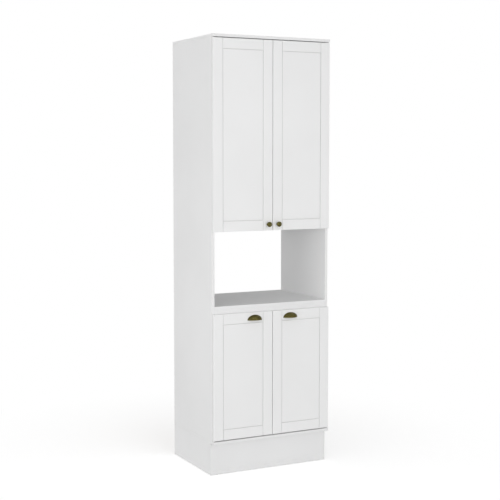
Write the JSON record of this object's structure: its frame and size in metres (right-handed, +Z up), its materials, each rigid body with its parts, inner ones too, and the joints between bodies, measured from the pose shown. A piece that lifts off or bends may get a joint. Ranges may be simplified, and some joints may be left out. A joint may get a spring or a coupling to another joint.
{
  "type": "tall oven cabinet",
  "caption": "Tall white kitchen cabinet with an open oven niche between framed upper and lower doors, on a recessed plinth.",
  "frame": {"origin": "on the floor, under the middle of the whole cabinet with its handles", "axes": "+X to the right seen from the front, +Y towards the wall, +Z up; the doors face -Y"},
  "size_m": [0.7, 0.547, 2.317],
  "materials": {
    "white_board": "satin white melamine on board",
    "white_door": "satin white lacquer on board",
    "white_hardboard": "white coating on the inner face, bare brown fibre on the rear face",
    "aged_brass": "aged brass, rubbed on the high spots",
    "nickelled_steel": "bright nickel plate",
    "zinc_alloy": "cast zinc, as cast",
    "zinc_screw": "zinc plated",
    "beech": "fluted beech dowel",
    "glide_plastic": "moulded",
    "clear_rubber": "soft translucent pad"
  },
  "bodies": {
    "cabinet": {"side_left": "white_board", "side_right": "white_board", "top_board": "white_board", "base_board": "white_board", "niche_top_board": "white_board", "niche_floor_board": "white_board", "front_rail": "white_board", "wall_rail": "white_board", "plinth_front": "white_board", "plinth_side_left": "white_board", "plinth_side_right": "white_board", "plinth_back": "white_board", "upper_back_panel": "white_hardboard", "lower_back_panel": "white_hardboard", "upper_shelf_1": "white_board", "upper_shelf_2": "white_board", "lower_shelf": "white_board", "shelf_pins": "nickelled_steel", "cam_locks": "zinc_alloy", "cam_bolts": "nickelled_steel", "wood_dowels": "beech", "plinth_screws": "zinc_screw", "floor_glides": "glide_plastic", "door_bumpers": "clear_rubber", "hinge_plates": "nickelled_steel", "hinge_plate_screws": "zinc_screw", "hinge_arms": "nickelled_steel", "hinge_arm_screws": "zinc_screw"},
    "door_upper_left": {"upper_left_hinge_stile": "white_door", "upper_left_meeting_stile": "white_door", "upper_left_rails": "white_door", "upper_left_panel": "white_door", "upper_left_hinge_cups": "nickelled_steel", "upper_left_hinge_pins": "nickelled_steel", "upper_left_knob": "aged_brass", "upper_left_knob_screw": "zinc_screw"},
    "door_upper_right": {"upper_right_hinge_stile": "white_door", "upper_right_meeting_stile": "white_door", "upper_right_rails": "white_door", "upper_right_panel": "white_door", "upper_right_hinge_cups": "nickelled_steel", "upper_right_hinge_pins": "nickelled_steel", "upper_right_knob": "aged_brass", "upper_right_knob_screw": "zinc_screw"},
    "door_lower_left": {"lower_left_hinge_stile": "white_door", "lower_left_meeting_stile": "white_door", "lower_left_rails": "white_door", "lower_left_panel": "white_door", "lower_left_hinge_cups": "nickelled_steel", "lower_left_hinge_pins": "nickelled_steel", "lower_left_cup_pull": "aged_brass", "lower_left_cup_pull_screws": "zinc_screw"},
    "door_lower_right": {"lower_right_hinge_stile": "white_door", "lower_right_meeting_stile": "white_door", "lower_right_rails": "white_door", "lower_right_panel": "white_door", "lower_right_hinge_cups": "nickelled_steel", "lower_right_hinge_pins": "nickelled_steel", "lower_right_cup_pull": "aged_brass", "lower_right_cup_pull_screws": "zinc_screw"}
  },
  "joints": [
    {"name": "door_upper_left_hinge", "type": "hinge", "parent": "cabinet", "child": "door_upper_left", "pos_m": [-0.3412, -0.2421, 1.7965], "axis": [0, 0, -1], "range_deg": [0, 100]},
    {"name": "door_upper_right_hinge", "type": "hinge", "parent": "cabinet", "child": "door_upper_right", "pos_m": [0.3412, -0.2421, 1.7965], "axis": [0, 0, 1], "range_deg": [0, 100]},
    {"name": "door_lower_left_hinge", "type": "hinge", "parent": "cabinet", "child": "door_lower_left", "pos_m": [-0.3412, -0.2421, 0.5275], "axis": [0, 0, -1], "range_deg": [0, 100]},
    {"name": "door_lower_right_hinge", "type": "hinge", "parent": "cabinet", "child": "door_lower_right", "pos_m": [0.3412, -0.2421, 0.5275], "axis": [0, 0, 1], "range_deg": [0, 100]}
  ]
}
